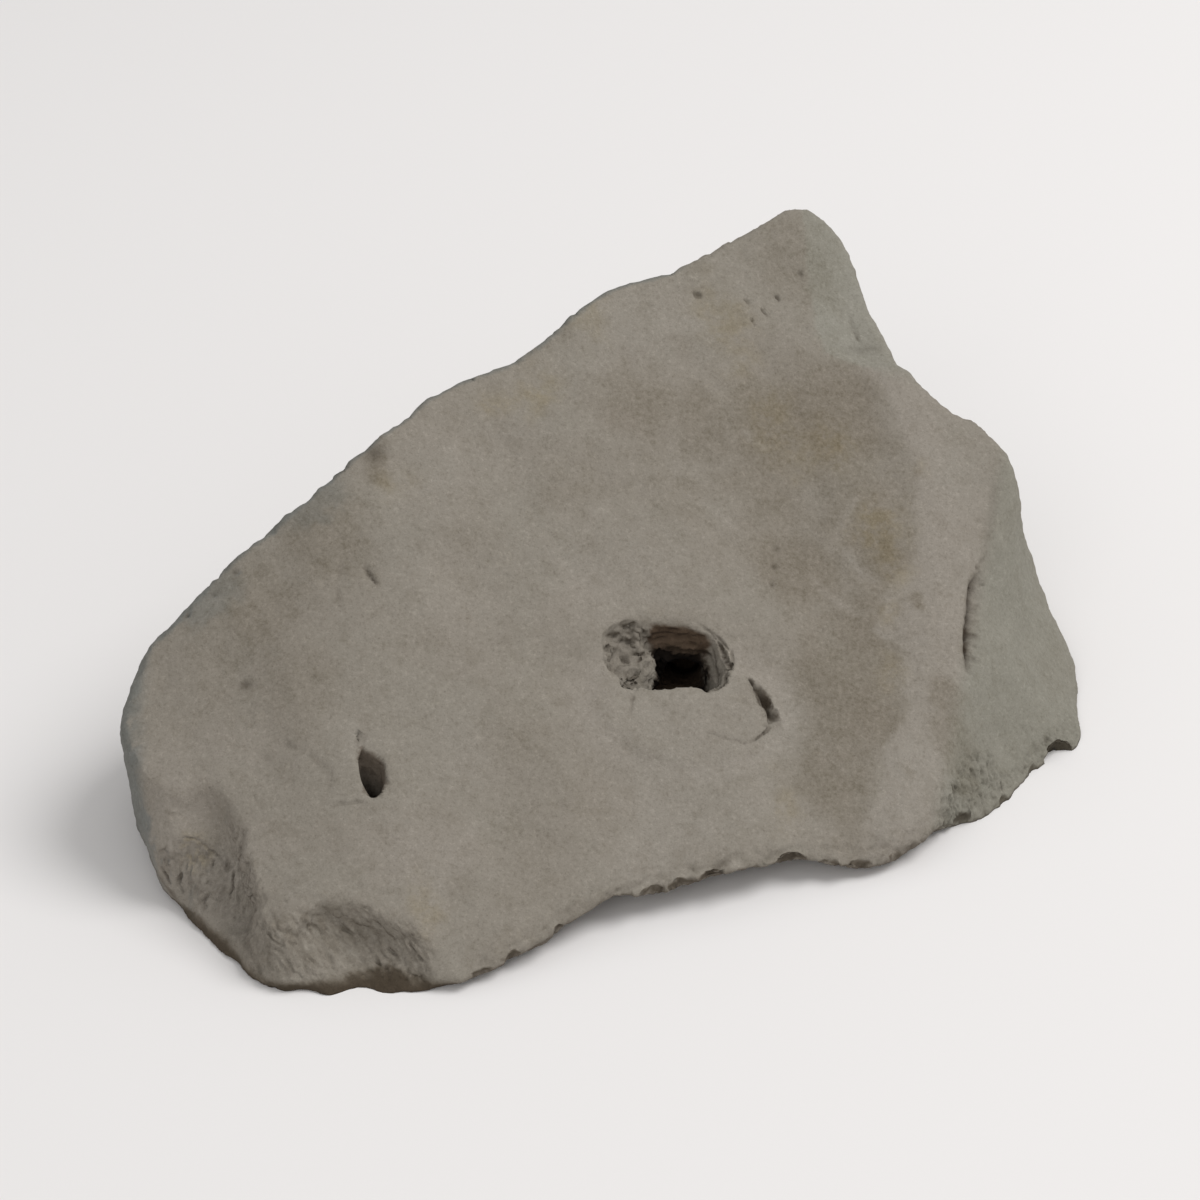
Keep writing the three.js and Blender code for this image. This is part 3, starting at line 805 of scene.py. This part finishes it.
PATCH = [(101, -29, 6.5, 0.6), (103, -37, 8.5, 0.6), (105.5, -44, 7, 0.6)]
ISLETS = [(93, -0.5, 2.4, 0.9), (94, -4, 2, 0.9), (96, 36, 2, 0.6), (88, -52, 2.5, 0.5)]
DISH_EDGE_Y = [-71, -60, -47, -38, -26, -15, -12, -4, -2, 3, 11, 37, 46, 60, 72]
DISH_EDGE_X = [73, 79, 81, 88, 89, 88, 77, 86, 83, 86, 94, 95, 92, 86, 76]
SCUFFS = [   # pale lines on the face: the points, the half width and the strength
    ([(76, 27, 68), (71.5, 20, 64), (70, 15, 60), (73, 10, 56.5), (77, 5, 53.5), (83, 2.5, 52)],
     1.3, 0.8),
    ([(61, 2.4, 53.5), (68, -3.5, 49), (74.6, -7, 47), (82, -6, 47)], 1.3, 0.6),
    ([(40, 41, 84), (43, 38.5, 82), (47, 38, 80)], 0.9, 0.9),
    ([(-7.5, 8, 77), (-10, 0, 73), (-8.5, -4, 71)], 1.0, 0.6),
    ([(13, 22, 80), (22, 18, 75), (30, 16, 71), (36, 13, 67), (38.5, 8, 63)], 1.0, 0.5),
    ([(16, 34, 86), (19, 27, 82), (17, 22, 79)], 0.8, 0.5),
    ([(30, -60, 30), (44, -63, 26), (60, -68, 20)], 0.9, 0.5),
    ([(40, -70, 22), (54, -72, 18), (66, -74, 14)], 0.9, 0.4),
    ([(58, -44, 29), (66, -52, 23), (76, -58, 18)], 0.8, 0.4),
    ([(82, -8, 47), (86, -20, 39), (91, -28, 34)], 0.8, 0.4),
]


def spots_in_plan(points, spots, wander=5.0, crisp=1.5):
    """The strongest of some spots at each point, with ragged edges."""
    size = 3 * wander
    ragged = np.column_stack([rough(points, size, 3, 91), rough(points, size, 3, 92)])
    plan = points[:, :2] + wander * ragged
    total = np.zeros(len(points))
    for x, y, width, strength in spots:
        away = ((plan - (x, y)) ** 2).sum(1) / width ** 2
        total = np.maximum(total, strength * np.exp(-away ** crisp))
    return total


def scuffs(points):
    """Pale lines on the face, uneven along their length."""
    total = np.zeros(len(points))
    for line, width, strength in SCUFFS:
        away = from_line(on_plane(points, FACE_SLOPE), on_plane(np.array(line), FACE_SLOPE))
        near = away < 4 * width
        wander = 1 + 0.5 * where(near, points, lambda place: noise_at(place, 2.5, 99))
        total = np.maximum(total, strength * near * bell(away, width * wander))
    return total * ramp(pit_depth(points), 8, 4)


def beyond_dish(points):
    """0 inside the dish, 1 past its right edge."""
    edge = np.interp(points[:, 1], DISH_EDGE_Y, DISH_EDGE_X)
    return ramp(points[:, 0] - edge + 2.0 * rough(points, 8, 4, 95, 0.6), -1.2, 1.5)


def face_maps(clay):
    """The dark film, the worn places, painted light on the facet by the peak and in the scoops,
    the ochre stains and the cold sides.
    """
    points, face = clay.points, face_share(clay)
    past = beyond_dish(points)
    pad = pad_reach(points)
    pad_worn = np.maximum(bell(pad - 1.18, 0.24), 0.45 * ramp(pad, 1.2, 1))
    pad_worn *= ramp(pit_depth(points), 8, 5)
    pale = scuffs(points)
    film = spots_in_plan(points, FILM) * (1 - past) * face * (1 - 0.9 * pad_worn)
    film = np.maximum(film, spots_in_plan(points, PATCH + ISLETS, 1.2, 2.5)) * (1 - 0.8 * pale)
    ridge_worn = past * bell(from_line(points, RIDGE), 18)
    facet = ramp(past_peak_edge(points), -0.5, 1.5) * ramp(points[:, 1], 62, 69)
    worn_and_painted_light = np.maximum(spots_in_plan(points, WORN), np.maximum(pad_worn, ridge_worn)) * face
    # Painted light on the upward faces of the facet by the peak.
    worn_and_painted_light = np.maximum(np.maximum(worn_and_painted_light, pale), facet * ramp(clay.normals[:, 2], 0.2, 0.5))
    # Painted light over the shaded walls of the scoops.
    worn_and_painted_light = np.maximum(worn_and_painted_light, spots_in_plan(points, SCOOP_PAINTED_LIGHT))
    right_side = ramp(points[:, 0] - 0.25 * points[:, 1], 109, 116)
    return {"film": film, "worn_and_painted_light": worn_and_painted_light * (1 - film), "cool": np.maximum(facet, right_side),
            "ochre": spots_in_plan(points, OCHRE) * ramp(face, 0, 0.5)}


def sky_reflection_map(clay):
    """A painted cold sky reflection, with painted shade, along the left crest, at the left end
    and on the wall behind it.
    """
    points = clay.points
    turned = clay.normals @ np.array([-0.8, 0.6, 0])
    broad = 6 * spot(points, (-93, -4, 87), 14) + 7 * spot(points, (-124, -27, 67), 13)
    away = from_line(points, LEFT_CREST) + 5 * rough(points, 5, 3, 94, 0.7)
    crest = ramp(away - broad, 9, 3) * np.maximum(ramp(turned, -0.1, 0.3), ramp(broad, 2, 5) * 0.5)
    x = points[:, 0] + 1.5 * rough(points, 9, 3, 98)
    end = ramp(x, -140, -145) * ramp(turned, -0.4, -0.1)
    wall = ramp(x + 9 * rough(points, 22, 3, 96), -110, -150) * ramp(turned, 0.1, 0.4)
    return np.maximum(crest, np.maximum(end, wall))


def underside_shade_map(clay):
    """Painted shade on all that looks down, and a band of painted shade along the foot at the
    lower left.
    """
    x, y, z = clay.points.T
    uneven = rough(clay.points, 9, 4, 45, 0.7)
    left = ramp(x, -88, -102)
    band = 2.1 + 1.6 * bell(x + 65, 4)
    foot = ramp(z + uneven - band, 1.2, -0.6) * ramp(x, -38, -50)
    beside = from_line(clay.points, LEFT_FOOT) + 0.8 * uneven
    beside += 2 * ramp(y, -100, -90)
    foot = np.maximum(foot, left * np.maximum(ramp(beside, 3.6, 1.8), 0.15 * ramp(z, 17, 5)))
    down = ramp(-clay.normals[:, 2], -0.05, 0.4) * (1 - 0.5 * left * ramp(z, 2, 5))
    return np.maximum(0.75 * down, foot)


def pit_maps(points):
    """The brown sides of both pits, and painted shade that turns the inside of the large one
    black.
    """
    depth = pit_depth(points)
    in_pit = depth * ramp(spot(points, PIT, 30), 0.08, 0.3)
    across = points[:, 0] + 1.6 * rough(points, 4, 4, 46, 0.7)
    lobe_end = 7 + 3.5 * ramp(points[:, 1], -21.5, -24.5)
    inner = ramp(across - lobe_end, 0, 2) * ramp(across, 28.5, 26)
    in_slot = ramp(inside_slot(points)[0], -0.8, -0.3) * ramp(slot_depth(points), 0.2, 0.8)
    in_slot = np.maximum(in_slot, ramp(spot(points, SLOT, 10), 0.3, 0.5) * ramp(depth, 3, 4))
    in_slot *= 0.65 - 0.5 * ramp(depth, 4, 14)
    return {"sunk": np.maximum(ramp(in_pit, 0.9, 2.2) * inner, in_slot),
            "deep_shade": ramp(in_pit, 6.5, 12) * ramp(in_pit, 34, 24) * inner}


def paint(clay):
    """Stores the maps that the material reads: a number for each point of the mesh."""
    maps = {"torn_and_shade": clay.torn_and_shade, "dirt_and_shade": clay.dirt_and_shade, "rim": sky_reflection_map(clay), "under": underside_shade_map(clay)}
    maps.update(face_maps(clay))
    maps.update(pit_maps(clay.points))
    for name, values in maps.items():
        layer = clay.mesh.attributes.new(name, "FLOAT", "POINT")
        layer.data.foreach_set("value", np.clip(values, 0, 1).astype(np.float32))


def fine_mesh():
    """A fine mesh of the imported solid, with its facets smoothed away."""
    rock = link("moon_rock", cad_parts["rock"].data.copy())
    welded = bmesh.new()
    welded.from_mesh(rock.data)
    bmesh.ops.remove_doubles(welded, verts=welded.verts, dist=0.01 * MM)
    welded.to_mesh(rock.data)
    welded.free()
    with_modifier(rock, "REMESH", mode="VOXEL", voxel_size=VOXEL * MM)
    smooth(rock.data, 24, crease=0.05)
    refine(rock.data, is_detailed(points_of(rock.data)))
    return rock


def build_rock():
    rock = fine_mesh()
    clay = Clay(rock.data)
    for work in (relax_crests, swell_face, fill_out, raise_pad, break_left_scoop,
                 break_front_scoop, shape_lobe, open_slot, roughen_pit):
        work(clay)
    cut_lines(clay, MARKS, FACE_SLOPE)
    cut_lines(clay, SCOOP_GASHES, SCOOP_SIDE)
    cut_lines(clay, PIT_CRACKS, PIT_SIDE)
    cut_lines(clay, LOBE_CRACKS, LOBE_SIDE)
    for work in (cut_groove, dent, break_walls, wear_lower_right, wear_front_edge, draw_in_foot):
        work(clay)
    # The chips' broken faces get painted shade.
    carve(clay, LIP_CHIPS, 0.08, 80, 0.55)
    carve(clay, FOOT_CHIPS, 0.08, 82, 0.45)
    for work in (grain, flatten_sole, paint):
        work(clay)
    thin_out(rock)
    for polygon in rock.data.polygons:
        polygon.use_smooth = True
    return rock


# ---- The stone's material ----
class Shading:
    """A node material that is built up one node at a time."""

    def __init__(self, name):
        self.material = bpy.data.materials.new(name)
        self.material.use_nodes = True
        self.tree = self.material.node_tree
        self.shader = self.tree.nodes["Principled BSDF"]
        self.place = self.tree.nodes.new("ShaderNodeTexCoord").outputs["Object"]

    def node(self, kind, inputs, **settings):
        """Adds a node. Each input is a number, a colour or another node's output."""
        node = self.tree.nodes.new(kind)
        for name, value in settings.items():
            setattr(node, name, value)
        for name, value in inputs.items():
            if isinstance(value, bpy.types.NodeSocket):
                self.tree.links.new(value, node.inputs[name])
            else:
                node.inputs[name].default_value = value
        return node

    def map(self, name):
        return self.node("ShaderNodeAttribute", {}, attribute_name=name).outputs["Fac"]

    def noise(self, size, detail=3.0, roughness=0.55, warp=0.0):
        """Random values around 0.5, with lumps of about size mm."""
        values = {"Vector": self.place, "Scale": 1 / (size * MM), "Detail": detail,
                  "Roughness": roughness, "Distortion": warp}
        return self.node("ShaderNodeTexNoise", values).outputs["Fac"]

    def between(self, value, start, end, low=0.0, high=1.0):
        """low up to start, high from end on, and smooth between them."""
        values = {"Value": value, "From Min": start, "From Max": end, "To Min": low, "To Max": high}
        return self.node("ShaderNodeMapRange", values, interpolation_type="SMOOTHSTEP").outputs[0]

    def math(self, operation, a, b):
        return self.node("ShaderNodeMath", {0: a, 1: b}, operation=operation).outputs[0]

    def mix(self, share, a, b, blend="MIX"):
        """Colour a where share is 0 and colour b, or a blended with b, where it is 1."""
        values = {0: share, 6: a, 7: b}
        node = self.node("ShaderNodeMix", values, data_type="RGBA", blend_type=blend)
        return node.outputs[2]

    def tinted(self, colour, share, tint):
        """Multiplies a colour by a tint where share is 1."""
        return self.mix(share, colour, (*tint, 1), "MULTIPLY")


STONE = (0.240, 0.215, 0.179, 1)
CLOUDS = (0.242, 0.219, 0.183, 1)
FILM_TINT = (0.80, 0.77, 0.73)
WORN_AND_PAINTED_LIGHT_TINT = (1.10, 1.10, 1.12)
COOL_TINT = (0.93, 0.975, 0.965)
SKY_REFLECTION_TINT = (0.70, 0.78, 0.85)
OCHRE_TINT = (1.0, 0.95, 0.80)
# Darker tints: torn stone and dirt, both with painted shade in them, painted shade under the rock and deep
# in the large pit, and the brown sides of the pits.
DARK_TINTS = {
    "torn_and_shade": (0.62, 0.58, 0.53), "under": (0.42, 0.38, 0.335), "dirt_and_shade": (0.24, 0.20, 0.165),
    "sunk": (0.36, 0.27, 0.21), "deep_shade": (0.10, 0.09, 0.08),
}


def plain_stone(stone, mottle, speckle):
    """Broad clouds, finger-sized mottling and fine specks, over all of the stone."""
    dust = stone.noise(0.55, 2, 0.7)
    cloud = stone.noise(38, 4, 0.55, 0.4)
    colour = stone.mix(stone.between(cloud, 0.38, 0.62), STONE, CLOUDS)
    for noise, start, end, share, tint in (
            (mottle, 0.50, 0.68, 0.6, (0.87, 0.86, 0.84)),
            (mottle, 0.46, 0.30, 0.6, (1.11, 1.11, 1.12)),
            (dust, 0.50, 0.72, 0.9, (0.82, 0.81, 0.80)),
            (speckle, 0.52, 0.68, 0.9, (0.85, 0.84, 0.82)),
            (speckle, 0.47, 0.32, 0.9, (1.18, 1.18, 1.19))):
        colour = stone.tinted(colour, stone.between(noise, start, end, 0, share), tint)
    return colour


def filmed(stone, colour, mottle, speckle):
    """The dark film: fine specks that crowd together where it is thick."""
    film = stone.map("film")
    crowded = stone.math("ADD", film, stone.between(mottle, 0.4, 0.65, -0.15, 0.25))
    specks = stone.math("MULTIPLY", stone.between(speckle, 0.42, 0.62), stone.between(crowded, 0, 1))
    colour = stone.tinted(colour, stone.between(film, 0, 1, 0, 0.85), FILM_TINT)
    return stone.tinted(colour, stone.math("MULTIPLY", specks, 0.45), (0.78, 0.77, 0.71))


def scratched(stone, colour):
    """Short pale scratches, thin as threads, here and there."""
    wave = stone.math("ABSOLUTE", stone.math("SUBTRACT", stone.noise(9, 2, 0.5, 1.2), 0.5), 0)
    here = stone.between(stone.noise(11, 2), 0.52, 0.62)
    thread = stone.math("MULTIPLY", stone.between(wave, 0.012, 0), here)
    return stone.tinted(colour, stone.math("MULTIPLY", thread, 0.6), (1.14, 1.14, 1.13))


def marked(stone, colour, mottle):
    """Wear and painted light, the colder sides, the painted sky reflection, stains that the
    mottling breaks up, and all that is dark, much of it painted shade.
    """
    stain = stone.math("MULTIPLY", stone.map("ochre"), stone.between(mottle, 0.35, 0.6, 0.2, 1))
    for share, tint in ((stone.map("worn_and_painted_light"), WORN_AND_PAINTED_LIGHT_TINT), (stone.map("cool"), COOL_TINT),
                        (stone.map("rim"), SKY_REFLECTION_TINT), (stain, OCHRE_TINT)):
        colour = stone.tinted(colour, share, tint)
    for name, tint in DARK_TINTS.items():
        colour = stone.tinted(colour, stone.map(name), tint)
    return colour


def stone_material():
    stone = Shading("moon_stone")
    mottle = stone.noise(6, 5, 0.65)
    speckle = stone.noise(1.3, 4, 0.7)
    colour = plain_stone(stone, mottle, speckle)
    colour = scratched(stone, filmed(stone, colour, mottle, speckle))
    roughness = stone.between(mottle, 0.3, 0.7, 0.86, 0.98)
    fine = stone.node("ShaderNodeBump", {"Height": speckle, "Strength": 0.5, "Distance": 0.4 * MM})
    coarse = stone.node("ShaderNodeBump", {"Height": stone.noise(3.2, 4, 0.6), "Strength": 0.5,
                                           "Distance": 0.9 * MM, "Normal": fine.outputs[0]})
    stone.tree.links.new(marked(stone, colour, mottle), stone.shader.inputs["Base Color"])
    stone.tree.links.new(roughness, stone.shader.inputs["Roughness"])
    stone.tree.links.new(coarse.outputs[0], stone.shader.inputs["Normal"])
    stone.shader.inputs["Specular IOR Level"].default_value = 0.25
    return stone.material


# ---- Studio ----
def add_camera():
    camera = link("camera", bpy.data.cameras.new("camera"))
    camera.data.lens = CAMERA_LENS
    back = Vector((0, -math.cos(CAMERA_LIFT), math.sin(CAMERA_LIFT)))
    camera.location = AIM + back * CAMERA_AWAY
    camera.rotation_euler = (math.pi / 2 - CAMERA_LIFT, 0, 0)
    bpy.context.scene.camera = camera


def add_floor():
    mesh = bpy.data.meshes.new("floor")
    mesh.from_pydata([(-9, -9, 0), (9, -9, 0), (9, 9, 0), (-9, 9, 0)], [], [(0, 1, 2, 3)])
    floor = link("floor", mesh)
    material = bpy.data.materials.new("floor")
    material.use_nodes = True
    shader = material.node_tree.nodes["Principled BSDF"]
    shader.inputs["Base Color"].default_value = (0.8, 0.78, 0.77, 1)
    shader.inputs["Roughness"].default_value = 0.9
    floor.data.materials.append(material)


def add_area(name, place, size, watts):
    """A soft round lamp that looks at the rock. Its place, from the rock, is in metres."""
    lamp = bpy.data.lights.new(name, "AREA")
    lamp.shape = "DISK"
    lamp.size = size
    lamp.energy = watts
    obj = link(name, lamp)
    obj.location = MIDDLE + Vector(place)
    obj.rotation_euler = (-Vector(place)).to_track_quat("-Z", "Y").to_euler()


def add_lights():
    world = bpy.data.worlds.new("studio")
    world.use_nodes = True
    world.node_tree.nodes["Background"].inputs["Color"].default_value = (1, 1, 1, 1)
    world.node_tree.nodes["Background"].inputs["Strength"].default_value = 0.54
    bpy.context.scene.world = world
    add_area("key", (1.7, 0.3, 2.3), 1.8, 51)
    add_area("fill", (-0.8, -2.2, 1.6), 1.6, 11)


bpy.context.scene.view_settings.view_transform = "Standard"
add_camera()
rock = build_rock()
rock.data.materials.clear()
rock.data.materials.append(stone_material())
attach(rock, "root")
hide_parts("rock")
add_floor()
add_lights()
